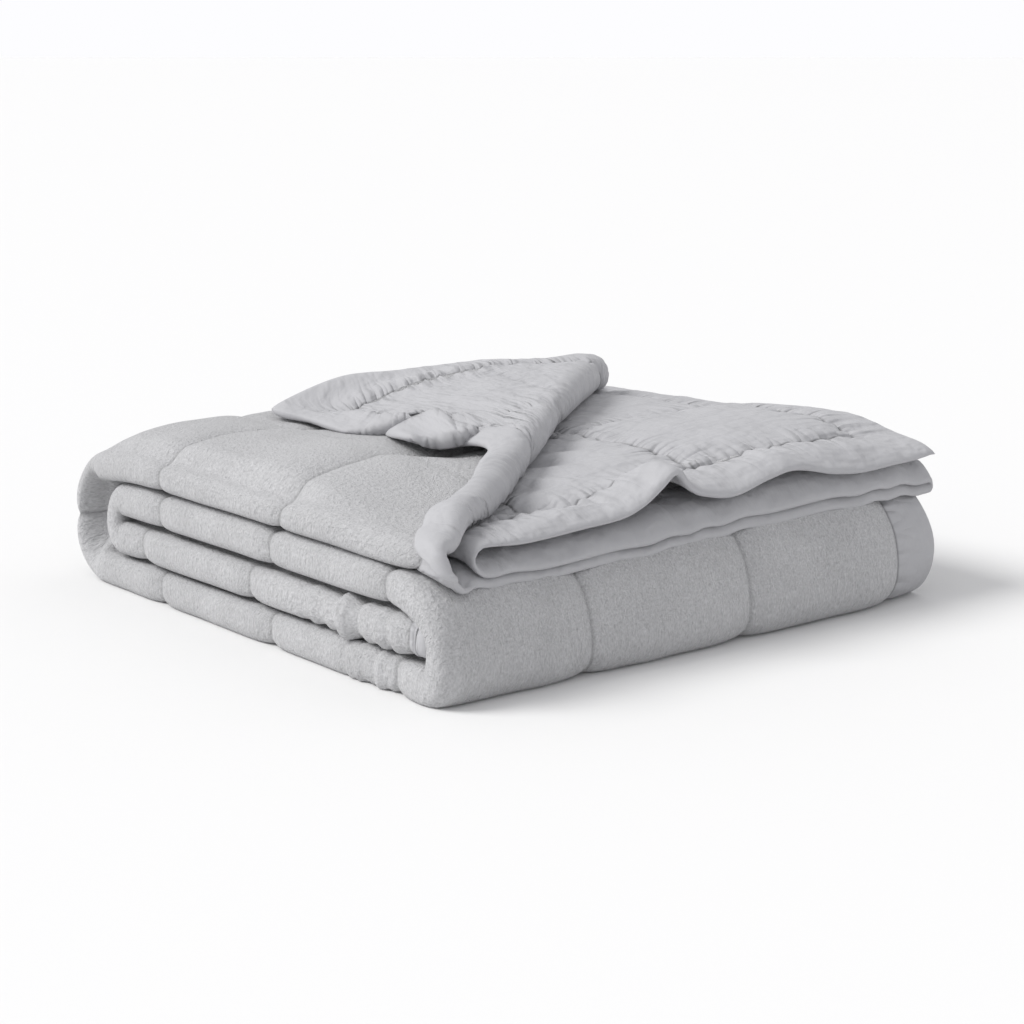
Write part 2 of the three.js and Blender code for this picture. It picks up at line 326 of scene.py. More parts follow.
def upper_share(t):
    """0 in the two lower plies of a layer and 1 in the two upper ones."""
    return smooth(-R_NESTED, R_NESTED, t)


def swell(u, x, y, z, t):
    """z of a place after the top layer has sunk and the pile has swelled."""
    top = fading(*TOP_ENDS, u)
    drop, past = shoulder_drop(x)
    sinks = top * (1 - FOLD_HELD * fading(*FOLD_HELD_Y, y))
    sinks = sinks * (drop + SHOULDER_AIR * smooth(0, AIR_WITHIN, past))
    z = z + sinks * (1 - UPPER_HELD * upper_share(t))
    z = z * (1 + DOME * (curve(DOME_X, DOME_X_SHARE, x) * curve(DOME_Y, DOME_Y_SHARE, y)))
    loose = top * bell(x - LOOSE_X, LOOSE_WIDE) * smooth(*LOOSE_Y, y)
    z = z + LOOSE * loose * smooth(-R_OUTER, R_NESTED, t)
    crown = curve(CROWN_Y, CROWN, y) * curve(CROWN_X, CROWN_X_SHARE, x) * fading(*CROWN_ENDS, u)
    return z + crown * np.clip(t / R_OUTER + 1, 0, 2) / 2


print(f"at the end hem the shoulder has fallen by {-shoulder_drop(X_HEM)[0]:.0f} mm")

# %% [markdown]
# ## The end hems
#
# At the near end the real hems lie one over another. The lower ones fall steeply at their
# last 20 mm and are a little wavy. The uppermost, which is uncovered, rises in waves and one
# arch. A wave modifier makes even waves, and these are uneven, so a table of heights along
# the hem makes them, which fade away into the layer.

# %% Waves of the end hems
END_WAVE = [
    # y, rise of the uncovered end hem
    (-310, 0),
    (-285, 1),
    (-258, 9),
    (-205, 2),
    (-135, 3),
    (-90, 4),
    (-64, 11),
    (-45, 21),
    (-26, 31),
    (-10, 14),
    (8, 4),
    (46, -4),
    (90, 3),
    (120, 7),
    (144, 4),
    (180, -4),
    (224, -7),
    (290, 1),
    (329, 10),
]
WAVE_Y, WAVE_RISE = zip(*END_WAVE)
print("the arch in the end hem rises by", max(WAVE_RISE), "mm")

# %% The end hems fall, wave and rise
RISE_REACH, DIP_REACH = 55, 24  # how far from the hem a rise and a dip reach
HEM_FALL_SHARE, HEM_FALLS, HEM_FALLS_Y = 0.5, (2, 24), (-285, -200)
HEM_WAVE, WAVE_LONG = 1.3, 11  # height and length of the lower hems' waves
WAVE_BEND, BEND_LONG = 2.5, 43  # which makes the waves uneven
HEM_PRESSED, PRESSED_Y = 5, (-290, -200, 200, 300)  # the lower plies pressed down


def wave_end_hems(u, x, y, z, t):
    """z of a place after the end hems have fallen, waved and risen."""
    top = fading(*TOP_ENDS, u)
    upper = upper_share(t)
    near_end = top * bell(np.maximum(u, 0), END_REACH)
    fallen = np.minimum(shoulder_drop(x)[0], 0) * smooth(*HEM_FALLS, u) * smooth(*HEM_FALLS_Y, y)
    z = z - HEM_FALL_SHARE * top * (1 - upper) * fallen
    wavy = np.sin(y / WAVE_LONG + WAVE_BEND * np.sin(y / BEND_LONG))
    z = z + HEM_WAVE * near_end * (1 - upper) * wavy
    z = z - HEM_PRESSED * (near_end * (1 - upper) * window(*PRESSED_Y, y))
    rise = curve(WAVE_Y, WAVE_RISE, y)
    fade = bell(np.maximum(u, 0), np.where(rise > 0, RISE_REACH, DIP_REACH))
    return z + top * upper * rise * fade


print("the end hems rise over", RISE_REACH, "mm and dip over", DIP_REACH, "mm")

# %% [markdown]
# The whole pile is these steps, one after another. The upper plies have also slid a little to
# the left, as the seams on them show. That could be a shear of the whole pile, but the layers
# below lie straight, so it is one more soft shift.

# %% The whole pile
SLID, SLID_Y, SLID_X, SLID_WIDE = 24, (-305, -170, -110, 20), -40, 110


def pile(u, v, high):
    """The pile's point for a place of the cloth raised by `high` off its plush side."""
    x, y, z, t = neat_pile(u, v, high)
    x, y = move_hems(u, v, x, y, t)
    z = swell(u, x, y, z, t)
    z = wave_end_hems(u, x, y, z, t)
    slid = window(*SLID_Y, y) * bell(x - SLID_X, SLID_WIDE)
    x = x - SLID * slid * upper_share(t) * fading(*CROWN_ENDS, u)
    return np.stack([x, y, z])


in_middle = pile(np.array([float(X_HEM)]), np.array([float(Y_HEM)]), 0)[:, 0]
print(f"in its middle the pile is {in_middle[2]:.0f} mm high")

# %% [markdown]
# ## The turned corner
#
# On the real blanket one corner of the top ply is turned over a straight fold line. A bend
# modifier would bend the plies under it too. In the flat cloth it is simple: a place that
# lies some way past the line comes back by the same way, a little higher. Near the closed
# fold the line bends round, and the cloth forms a flat cuff that is turned back straight
# along the layer.

# %% The fold line
FOLD_U, FOLD_V = 469, 596  # where the straight fold line meets the two hems
LINE = math.hypot(FOLD_U, FOLD_V)
LINE_U, LINE_V = FOLD_V / LINE, FOLD_U / LINE
LINE_AT = FOLD_U * LINE_U  # from the line to the cloth's corner
CORNER_ALONG = FOLD_U * LINE_V

LINE_BEND_V = (540, 560, 592, 610, 625, 640, 700)  # from its first v the line bends round
LINE_BEND_U = (44, 28.3, 4, -8, -22, -34, -70)
TURN_V = (500, 551, 592, 620, 650)
TURN_DEGREES = (38.2, 22, 12, 3, 0)  # way back to the line, from the layer's own direction


def line_side(u, v):
    """Distance past the fold line, and the way back to it."""
    straight = FOLD_U * (1 - v / FOLD_V)
    line_u = np.where(v < LINE_BEND_V[0], straight, curve(LINE_BEND_V, LINE_BEND_U, v))
    turn = np.radians(curve(TURN_V, TURN_DEGREES, v))
    return (line_u - u) * np.cos(turn), np.cos(turn), np.sin(turn)


print(f"the corner of the cloth lies {LINE_AT:.0f} mm past the fold line")

# %% [markdown]
# The turned corner's end hem was gathered when the blanket was laid out. How much cloth shows
# past the line, and how far it was pushed along it, differ from place to place, so both come
# from a table along the line. The hem's height over the ply under it is the table's last
# column.

# %% The turned hem along the fold line
TURNED_HEM = [
    # along the line, cloth shown past it, pushed along it, height of the hem
    (0, 0, 0, 24),
    (120, 150, 0, 27),
    (200, 250, 0, 34),
    (250, 313, 0, 33),
    (290, 344, 47, 15),
    (329, 288, 39, 11),
    (369, 223, 49, 8),
    (406, 186, -4, 6),
    (421, 142, 79, 10),
    (443, 119, 35, 11),
    (467, 88, 14, 11),
    (487, 60, 34, 12),
    (518, 55, 34, 12),
    (549, 53, 26, 12),
    (581, 51, 18, 12),
    (612, 48, 13, 12),
    (652, 49, 0, 13),
    (700, 44, 0, 14),
    (800, 64, 0, 16),
]
HEM_ALONG, HEM_PAST, HEM_ASIDE, HEM_HIGH = zip(*TURNED_HEM)
print("most cloth shown past the line:", max(HEM_PAST), "mm")

# %% [markdown]
# Along the line the real cloth curls over in a soft roll, narrow at the cuff, and then comes
# down to rest. In its middle it stands higher, with one soft ridge in front and one behind.
# The corner could be a sheet of its own that is laid on top, but it would need a join along
# the line. Here it stays the same cloth, lifted over the ply under it.

# %% How high the turned cloth stands
LYING, RAISED, RAISED_AT = 10, 26, (20, 300)  # height at the cloth's corner and in the middle
RIDGE, RIDGE_FROM_HEM, RIDGE_WIDE = 8, 62, 30  # in front: height, place and width
RIDGE_ALONG = (290, 340, 440, 500)  # along the line
BACK_RIDGE, BACK_FROM_HEM, BACK_WIDE = 12, 74, 40  # behind
BACK_RISES, BACK_ENDS = (100, 240), (230, 300)  # along the line too
CUFF_LOWER, CUFF_ALONG = 3, (470, 540)  # the cuff lies flatter
HEM_DOWN = 62  # width over which the cloth comes down to its hem
CURL_V = (440, 560, 620)
CURL_RADIUS = (13, 6.5, 6)
SETTLES = 50  # past the curl, the way over which the cloth comes down


def curl(past, radius, lying):
    """How far beyond the line, and how high, cloth lies that goes past it by `past`."""
    angle = np.clip(past / radius, 0, math.pi)
    flat = np.maximum(past - math.pi * radius, 0)
    settle = 1 - bell(flat, SETTLES)
    beyond = radius * np.sin(angle) - flat
    return beyond, radius * (1 - np.cos(angle)) + (lying - 2 * radius) * settle


def turned_height(u, v, along, to_hem):
    """Height at which the turned cloth comes to rest over the ply under it."""
    middle = LYING + (RAISED - LYING) * smooth(*RAISED_AT, np.hypot(u, v))
    middle = middle + RIDGE * bell(to_hem - RIDGE_FROM_HEM, RIDGE_WIDE) * window(*RIDGE_ALONG, along)
    behind = fading(*BACK_ENDS, along) * smooth(*BACK_RISES, along)
    middle = middle + BACK_RIDGE * bell(to_hem - BACK_FROM_HEM, BACK_WIDE) * behind
    middle = middle - CUFF_LOWER * smooth(*CUFF_ALONG, along)
    down = fading(0, HEM_DOWN, to_hem)
    return middle * (1 - down) + curve(HEM_ALONG, HEM_HIGH, along) * down


print("radius of the roll along the fold line:", CURL_RADIUS[0], "mm, at the cuff:", CURL_RADIUS[-1])

# %% [markdown]
# The real tip was pulled a little aside, and the end hem has one pleat folded over itself.
# A pleat in a flat mesh would need cuts. Pushing the hem along the line, and raising the cloth
# on one side of a slanting edge, folds it over without any.

# %% Cloth drawn together, and the pleat
LEAST_WHOLE = 70  # keeps the shares finite where the line leaves the cloth
LEAST_DRAWN = 12  # width that is left of the cloth between line and border
PLEAT_AT, PLEAT_WIDE, PLEAT_SLANT = 413, 8, 0.8  # along the line, and how its edge slants
PLEAT_DEEP, PLEAT_HIGH = 60, 8
PLEAT_RISES, PLEAT_FADES = 1.2, 3  # in widths of the pleat


def draw_together(flat, along):
    """How far past the line a place lies in the turned corner, and the whole way to the hem."""
    rises = along / CORNER_ALONG * LINE_AT
    falls = (LINE - along) / (LINE - CORNER_ALONG) * LINE_AT
    whole = np.maximum(np.where(along < CORNER_ALONG, rises, falls), LEAST_WHOLE)
    shown = curve(HEM_ALONG, HEM_PAST, along)
    # the border keeps its width, and the cloth between it and the line is drawn together
    kept = np.minimum(BORDER * LINE_U, shown - LEAST_DRAWN)
    to_hem = whole - flat
    return np.where(to_hem > kept, flat * (shown - kept) / (whole - kept), shown - to_hem), whole


def pleat(u, along):
    """How much the pleat raises the end hem."""
    s = (along - PLEAT_AT + PLEAT_SLANT * np.maximum(u, 0)) / PLEAT_WIDE
    raised = PLEAT_HIGH * smooth(-PLEAT_RISES, PLEAT_RISES, s) * bell(np.maximum(s, 0), PLEAT_FADES)
    return raised * bell(np.maximum(u, 0), PLEAT_DEEP)


print("the pleat raises the end hem by", PLEAT_HIGH, "mm and reaches", PLEAT_DEEP, "mm in")

# %% Turning the corner
TIP_ASIDE = -33  # along the line
CORNER_ENDS = 700  # v beyond which nothing is turned


def turn_corner(u, v):
    """Where turned cloth lies on the flat cloth, and how high over it."""
    flat, way_u, way_v = line_side(u, v)
    along = (FOLD_U - u) * LINE_V + v * LINE_U
    past, whole = draw_together(flat, along)
    rest = turned_height(u, v, along, whole - flat)
    beyond, high = curl(past, curve(CURL_V, CURL_RADIUS, v), rest)
    high = high + pleat(u, along)
    aside = TIP_ASIDE * np.clip(flat / LINE_AT, 0, 1) ** 2
    aside = aside + curve(HEM_ALONG, HEM_ASIDE, along) * np.clip(flat / whole, 0, 1) ** 2
    turned = (flat > 0) & (v < CORNER_ENDS)
    return (
        np.where(turned, u + (flat - beyond) * way_u - aside * LINE_V, u),
        np.where(turned, v + (flat - beyond) * way_v + aside * LINE_U, v),
        np.where(turned, high, 0.0),
    )


tip_u, tip_v, tip_high = turn_corner(np.zeros(1), np.zeros(1))
print(f"the tip lies over ({tip_u[0]:.0f}, {tip_v[0]:.0f}) on the flat cloth, {tip_high[0]:.0f} mm high")

# %% [markdown]
# ## The whole map
#
# Handling and its own weight pushed the real pile a little here and there. Proportional
# editing would do the same in the viewport. Here each push is a soft bell in space, written
# as where it is, how far it reaches and by how much it moves the cloth. Towards the closed
# fold the top ply's end hem also reaches further out than the others.

# %% Soft pushes
PUSHES = [
    # x, y, z, reach x, y, z, by x, y, z
    (-350, 50, 150, 60, 450, 50, 20, 0, -20),
    (-352, -250, 95, 60, 250, 70, 14, 0, 0),
    (305, 0, 12, 45, 600, 26, 7, 0, -4),
    (300, 330, 10, 60, 60, 35, -14, -4, 0),
    (320, 330, 120, 60, 60, 60, -8, 0, -2),
    (300, 335, 150, 50, 50, 40, 0, 0, -5),
    (190, 320, 175, 70, 80, 40, 0, 0, 5),
    (255, -305, 150, 80, 75, 30, 0, 0, -12),
    (190, -215, 155, 90, 90, 30, 0, 0, -9),
    (-150, 300, 195, 120, 170, 40, -14, 0, 0),
    (-300, -120, 150, 80, 75, 40, 0, 0, 9),
    (-280, -310, 150, 60, 36, 40, 0, 0, -9),
    (240, 330, 170, 50, 60, 40, 0, 0, -8),
    (-165, 300, 172, 30, 40, 22, -6, -4, 0),
    (-262, -320, 88, 42, 110, 50, 13, 0, 0),
    (286, -320, 66, 24, 70, 34, 12, 0, 0),
]
print(len(PUSHES), "soft pushes")

# %% From the flat cloth to the folded pile
LONGER_V = (480, 510, 551, 585, 605, 622, 642, 670)
LONGER = (0, 21, 33, 43, 46, 36, 16, 0)
LONGER_ENDS = 500  # along the roll, where the longer ply is level with the others again


def place(u, v):
    """Point in the folded pile of a place on the flat cloth, both in millimetres."""
    reach = u - curve(LONGER_V, LONGER, v) * fading(0, LONGER_ENDS, u)
    x, y, z = pile(*turn_corner(reach, v))
    moved = np.stack([x, y, z])
    for row in PUSHES:
        centre, wide, by = np.reshape(row, (3, 3))
        share = bell(x - centre[0], wide[0]) * bell(y - centre[1], wide[1])
        share = share * bell(z - centre[2], wide[2])
        moved += by.reshape(3, *[1] * x.ndim) * share
    return moved


tip = place(np.zeros(1), np.zeros(1))[:, 0]
print("the turned tip lies at", tip.round(), "mm")

# %% [markdown]
# ## A fine net where it shows
#
# The real cloth bends anywhere, a mesh only at its points. A subdivision modifier would make
# it fine all over, inside the pile too. Here the points are laid out in stations along and
# across the cloth, close together where it shows or bends. The seams are stations too.

# %% Seams and creased stretches on the flat cloth
SEAM_X = (-147, 53, 250)  # in layers 1, 3 and 4 the seams lie over each other
BEND_SEAM = 98  # a seam in the outer bend, from where the bend starts
SHOULDER_KEEPS = 8  # least way from the shoulder to a seam
INNER_SEAMS = (50, 250)  # seams in the roll's last stretch, from its start
SEAMS_ACROSS = BORDER + (WIDE - 2 * BORDER) * np.arange(BOXES + 1) / BOXES
SEAMS_ALONG = np.array(
    [BORDER, X_HEM - SEAM_X[1], X_HEM - SEAM_X[0], ROLL_AT[1] + BEND_SEAM]
    + [ROLL_AT[2] + x - X_LEFT for x in SEAM_X]
    + [ROLL_AT[5] + X_SHOULDER - min(x, X_SHOULDER - SHOULDER_KEEPS) for x in reversed(SEAM_X)]
    + [ROLL_AT[7] + x for x in INNER_SEAMS]
    + [LONG - BORDER]
)
# stretches of the front fold in short upright creases: start, end and distance of the stations
CRUMPLED = [np.arange(1172, 1260, 5.5), np.arange(2255, 2372, 5)]
print(len(SEAMS_ALONG), "seams cross the roll's way and", len(SEAMS_ACROSS), "cross the strip's")

# %% Stations along and across the cloth
STEPS_ALONG = [4.5, 5.5, 8, 3.2, 5, 8, 4, 9]  # millimetres, one for each piece of the path
STEPS_ACROSS = [5, 3.2, 9, 2, 9, 2, 5.4]
AT_HEM = (2.5, 6)  # stations close to a hem, where the cloth thins
LEAST_STEP = 1.5


def stations(joint, steps, extra=()):
    """Places from 0 to the end; each piece between joints has steps of about its own size."""
    fixed = sorted(set(np.round(joint, 2)) | set(np.round(extra, 2)))
    kept = [fixed[0]]
    for x in fixed[1:]:
        if x - kept[-1] > LEAST_STEP:
            kept.append(x)
    out = [kept[0]]
    for low, high in zip(kept, kept[1:]):
        piece = max(i for i, at in enumerate(joint[:-1]) if at <= (low + high) / 2)
        count = max(1, round((high - low) / steps[piece]))
        out += [low + (high - low) * k / count for k in range(1, count + 1)]
    return np.array(out)


hems_u, hems_v = np.subtract(LONG, AT_HEM), np.subtract(WIDE, AT_HEM)
US = stations(ROLL_AT, STEPS_ALONG, np.hstack([AT_HEM, FOLD_U, SEAMS_ALONG, *CRUMPLED, hems_u]))
VS = stations(STRIP_AT, STEPS_ACROSS, np.hstack([AT_HEM, SEAMS_ACROSS, hems_v]))
print("stations:", len(US), "along,", len(VS), "across")

# %% [markdown]
# ## Seams and boxes
#
# The real cloth is sewn through in square boxes, with a plain border outside them. The seams
# could be drawn in the materials alone, but the puffs between them show in the outline. So
# each place on the cloth gets its distances to the nearest seams and to the hem, and the
# shape and the materials both use them. The turned cloth and the plush on top hide most of
# their inner seams, so there the seams are softened.

# %% Distances to the seams and the hem
NO_SEAM = 99.0  # distance given where no seam runs, as in the border
BESIDE_LINE_U, BESIDE_LINE_V, BESIDE_LINE_WIDE = 500, 640, 5
KEPT_SEAM = 90  # the seams nearer to the hem than this stay sharp
SOFTER_TURNED, SOFTER_TOP, SOFTER_TOP_V = 6, 5, 560  # millimetres added to a seam's distance


def nearest(seams, x):
    return np.min(np.abs(np.asarray(seams)[:, None] - x[None, :]), axis=0)


U, V = np.meshgrid(US, VS, indexing="ij")
IN_U = (U > BORDER - 1) & (U < LONG - BORDER + 1)
IN_V = (V > BORDER - 1) & (V < WIDE - BORDER + 1)
TO_SEAM_U = np.where(IN_V, nearest(SEAMS_ALONG, US)[:, None], NO_SEAM)
TO_SEAM_V = np.where(IN_U, nearest(SEAMS_ACROSS, VS)[None, :], NO_SEAM)
TO_HEM = np.minimum(np.minimum(U, LONG - U), np.minimum(V, WIDE - V))
LINE_SIDE = line_side(U, V)[0]
BESIDE_LINE = (U < BESIDE_LINE_U) & (V < BESIDE_LINE_V) & (LINE_SIDE > -BESIDE_LINE_WIDE)
ON_TOP = (U < ROLL_AT[1]) & (V < SOFTER_TOP_V) & (LINE_SIDE < -BESIDE_LINE_WIDE)
TO_SEAM_U = TO_SEAM_U + SOFTER_TURNED * (BESIDE_LINE & (U > KEPT_SEAM))
TO_SEAM_V = TO_SEAM_V + SOFTER_TURNED * (BESIDE_LINE & (V > KEPT_SEAM)) + SOFTER_TOP * ON_TOP
print("a box is", round((WIDE - 2 * BORDER) / BOXES), "mm wide across the cloth")

# %% [markdown]
# ## Thickness, puffs and lumps
#
# Each real box is a shallow cushion, full in the middle and pinched at the seams, and the hem
# thins to a knife edge. A displace modifier with a texture could puff a flat sheet, but the
# thickness has to fit the plies' distance. So it is a formula of the distances to the seams.

# %% Half thickness of the cloth
CUSHION_WIDE = 40
BORDER_SWELL = 0.3  # share of a box's swell in the plain border
KNIFE_EDGE = 6  # width over which the hem thins


def cushion(width):
    """0 at the seams, 1 in the boxes, and a flat share of it in the border."""
    along = 1 - (1 - np.clip(TO_SEAM_U / width, 0, 1)) ** 2
    across = 1 - (1 - np.clip(TO_SEAM_V / width, 0, 1)) ** 2
    return along * across * np.where(TO_HEM < BORDER, BORDER_SWELL, 1)


def valley(width):
    """1 at the seams, falling off sharply at both sides."""
    return np.maximum(np.exp(-TO_SEAM_U / width), np.exp(-TO_SEAM_V / width))


half = SEAM + (PUFF - SEAM) * cushion(CUSHION_WIDE)
edge = np.clip(TO_HEM / KNIFE_EDGE, 0, 1)
half = HEM + (half - HEM) * np.sqrt(1 - (1 - edge) ** 2)
print(f"the cloth is {2 * half.min():.1f} to {2 * half.max():.1f} mm thick")


# %% Uneven lumps and creases
WAVES = 16
WAVE_FROM, WAVE_TO = 1.2, 2.6  # lengths of the waves, in sizes of a lump
WAVES_SUM = 6  # how high the waves mostly stand together
CREST = 0.4  # height of a crease's sharp crest
UNEVEN_BROAD, UNEVEN_SMALL = (1.1, 75), (0.5, 30)  # height and width of the cloth's own lumps


def lumps(size, seed, stretch=(1, 1), angle=0.0):
    """Soft uneven lumps, mostly from -1 to 1, over the flat cloth, about `size` mm wide."""
    random = np.random.default_rng(seed)
    a = U * math.cos(angle) + V * math.sin(angle)
    b = V * math.cos(angle) - U * math.sin(angle)
    total = np.zeros(U.shape)
    for k in range(WAVES):
        turn, phase = random.uniform(0, 2 * math.pi, 2)
        wave = 2 * math.pi / (size * random.uniform(WAVE_FROM, WAVE_TO))
        ahead = a / stretch[0] * math.cos(turn) + b / stretch[1] * math.sin(turn)
        total += np.sin(wave * ahead + phase)
    return total / WAVES_SUM


def creases(size, seed, stretch, angle=0.0):
    """Long creases with sharp crests: stretched lumps, folded down where they cross zero."""
    return CREST - np.abs(lumps(size, seed, stretch, angle))


uneven = UNEVEN_BROAD[0] * lumps(UNEVEN_BROAD[1], 1) + UNEVEN_SMALL[0] * lumps(UNEVEN_SMALL[1], 2)
print(f"the cloth is uneven by {np.abs(uneven).max():.1f} mm at most")

# %% [markdown]
# ## Laying the cloth
#
# On the real blanket both faces follow one cloth. A solidify modifier would thicken it evenly.
# Here the two faces differ, so the map is read at every station and just beside it, and the
# cross product of the two steps is the direction of the plush side. Both faces can then be
# set off from the cloth's middle.

# %% The cloth's middle, and the direction of its plush side
STEP = 1.0
middle = place(U, V)
step_along = place(np.minimum(U + STEP, LONG), V) - place(np.maximum(U - STEP, 0), V)
step_across = place(U, np.minimum(V + STEP, WIDE)) - place(U, np.maximum(V - STEP, 0))
normal = np.cross(step_along, step_across, axis=0)
normal /= np.linalg.norm(normal, axis=0)
print("the cloth's middle is laid at", middle[0].size, "points")

# %% [markdown]
# Where a real face is free it swells more than inside the pile. Painted vertex groups could
# say where, but they would have to be painted again for every new mesh. Here they are soft
# windows on the flat cloth: the top and the near face, the closed fold in front, the turned
# corner and the uncovered end.

# %% Where the cloth is free
FRONT_FOLD, BACK_FOLD, NESTED_FOLD = 618, 1239, 1845  # v in the middle of the strip's folds
FRONT_WIDE = 34
FACE_V = (590, 640)  # the faces end at the front fold
TOP_U, NEAR_U = (600, 760), (1250, 1300, 1400, 1450)
TURNED_U, TURNED_V = (430, 480), (560, 600)
UNCOVERED_U, UNCOVERED_V = (480, 560), (1850, 1900)

free_fold = bell(V - FRONT_FOLD, FRONT_WIDE)
free_faces = np.maximum(fading(*TOP_U, U), window(*NEAR_U, U)) * fading(*FACE_V, V)
free_plush = free_faces * (1 - free_fold)
turned = fading(*TURNED_U, U) * fading(*TURNED_V, V)
uncovered = fading(*UNCOVERED_U, U) * smooth(*UNCOVERED_V, V)
free_smooth = np.maximum(uncovered, turned)
print(f"free plush: {free_plush.mean():.0%} of the points, free microfibre: {free_smooth.mean():.0%}")

# %% [markdown]
# ## The plush face
#
# The real plush swells between soft, deep seams. Small gathers run square to the seams, and
# two stretches of the closed fold lie in short upright creases, where the roll presses them.
# Gathers could be sculpted, but there are hundreds, so they come from seeded lumps stretched
# long, and the same seed gives the same gathers each time.

# %% Gathers along the seams
GATHER_WIDE, GATHER_LONG, GATHER_FADE = 17, 7, 22  # millimetres, times its width, millimetres
gathers = creases(GATHER_WIDE, 5, (GATHER_LONG, 1)) * np.exp(-TO_SEAM_U / GATHER_FADE)
gathers = gathers + creases(GATHER_WIDE, 6, (1, GATHER_LONG)) * np.exp(-TO_SEAM_V / GATHER_FADE)
print(f"gathers reach {np.abs(gathers).max():.2f} of their height")


# %% The plush face
PLUSH_BOX, PLUSH_SEAM = (2.6, 60), (2.6, 7)  # height of the boxes, depth of the seams, widths
FOLD_BOX, FOLD_SEAM = (1.8, 26), (2.2, 6)
PLUSH_GATHERS, FOLD_UNEVEN = 0.3, 0.4
CREASE_HIGH, CREASE_WIDE, CREASE_LONG = 4.6, 9.5, 9  # millimetres, and times its width
CREASES_FADE = 20


def quilted(box, seam):
    """Height of puffed boxes and their seams, each given as a height and a width."""
    return box[0] * cushion(box[1]) - seam[0] * valley(seam[1])


crumpled = sum(window(c[0], c[0] + CREASES_FADE, c[-1] - CREASES_FADE, c[-1], U) for c in CRUMPLED)
upright = CREASE_HIGH * crumpled * lumps(CREASE_WIDE, 8, (1, CREASE_LONG))
on_faces = quilted(PLUSH_BOX, PLUSH_SEAM) + uneven + PLUSH_GATHERS * gathers
on_fold = quilted(FOLD_BOX, FOLD_SEAM) + upright + FOLD_UNEVEN * uneven
plush = middle + normal * (half + free_plush * on_faces + free_fold * on_fold)
print(f"upright creases reach {np.abs(upright).max():.1f} mm")

# %% [markdown]
# ## The microfibre face
#
# The real microfibre shows its seams and gathers more sharply. Where the turned corner rolls
# over, it is drawn together and lies smooth. Beside the cuff the uncovered ply lies in
# wrinkles that run away from it, and its border hangs in short ruffles square to the hem.
# These follow no seam, so each is a patch of creases with its own way to run.

# %% Wrinkles and ruffles of the uncovered ply
WRINKLE_HIGH, WRINKLE_WIDE, WRINKLE_LONG, WRINKLE_WAY = 8, 40, 3.2, 2.25  # the way in radians
WRINKLED_U, WRINKLED_V = (10, 50, 180, 330), (2060, 2240)
RUFFLE_HIGH, RUFFLE_WIDE, RUFFLE_LONG, RUFFLE_WAY = 4.2, 14, 5, 0.35
RUFFLED_HEM, RUFFLED_U, RUFFLED_V = (4, 16), (BORDER, 90), (2080, 2230)

wrinkled = WRINKLE_HIGH * uncovered * window(*WRINKLED_U, U) * fading(*WRINKLED_V, V)
wrinkled = wrinkled * creases(WRINKLE_WIDE, 21, (WRINKLE_LONG, 1), WRINKLE_WAY)
ruffled = smooth(*RUFFLED_HEM, TO_HEM) * fading(*RUFFLED_U, U) * fading(*RUFFLED_V, V)
ruffled = RUFFLE_HIGH * uncovered * ruffled * creases(RUFFLE_WIDE, 22, (RUFFLE_LONG, 1), RUFFLE_WAY)
print(f"wrinkles reach {np.abs(wrinkled).max():.1f} mm, ruffles {np.abs(ruffled).max():.1f} mm")

# %% The microfibre face
SMOOTH_BOX, SMOOTH_SEAM = (3.0, 70), (3.4, 5)
SMOOTH_GATHERS, SMOOTH_UNEVEN = 6.5, 1.5
DRAWN_SMOOTH, DRAWN_SIDE = 0.8, (20, 45)  # share taken away, and up to how far past the line
TURNED_PUFF, UNCOVERED_PUFF, PUFF_POWER = 3.0, 1.6, 0.8  # the border's own flat puff

drawn_smooth = 1 - DRAWN_SMOOTH * turned * fading(*DRAWN_SIDE, LINE_SIDE)
rough = quilted(SMOOTH_BOX, SMOOTH_SEAM) + SMOOTH_UNEVEN * uneven + SMOOTH_GATHERS * gathers
across_border = np.sin(math.pi * np.clip(TO_HEM / BORDER, 0, 1)) ** PUFF_POWER * (TO_HEM < BORDER)
puffed = (TURNED_PUFF * turned + UNCOVERED_PUFF * uncovered) * across_border
raised = half + free_smooth * rough * drawn_smooth + puffed + wrinkled + ruffled
inner = middle - normal * raised
print(f"the microfibre face is raised by {raised.min():.1f} to {raised.max():.1f} mm")

# %% [markdown]
# The real pile rests on its lowest ply, which its own weight presses flat. A shrinkwrap
# modifier could press it to the floor, but it would pull at the folds beside it too. Here
# only that ply's plush face is laid on the floor, and nothing is left below it.

# %% Points of both faces in metres
on_floor = (U > ROLL_AT[2] - 1) & (U < ROLL_AT[3] + 1) & (V > 1) & (V < STRIP_AT[1] + 1)
plush[2] = np.where(on_floor, ORIGIN[2], np.maximum(plush[2], ORIGIN[2]))
points = np.stack([plush, inner])
points = (points - ORIGIN[None, :, None, None]) * MM
print("points from", points.min(axis=(0, 2, 3)).round(4), "to", points.max(axis=(0, 2, 3)).round(4))

# %% [markdown]
# ## Joining the faces into one cloth
#
# The real cloth is one piece, so the mesh is one closed skin. A decimate modifier could thin
# its hidden folds, but it chooses by itself which points to drop. Here blocks of four by four
# cells stay fine where they show. In a hidden fold that runs straight along the roll, cells
# are joined along it only, and any other hidden block becomes one face. A face keeps the
# points on a side that it shares with a finer block, so no gap opens.

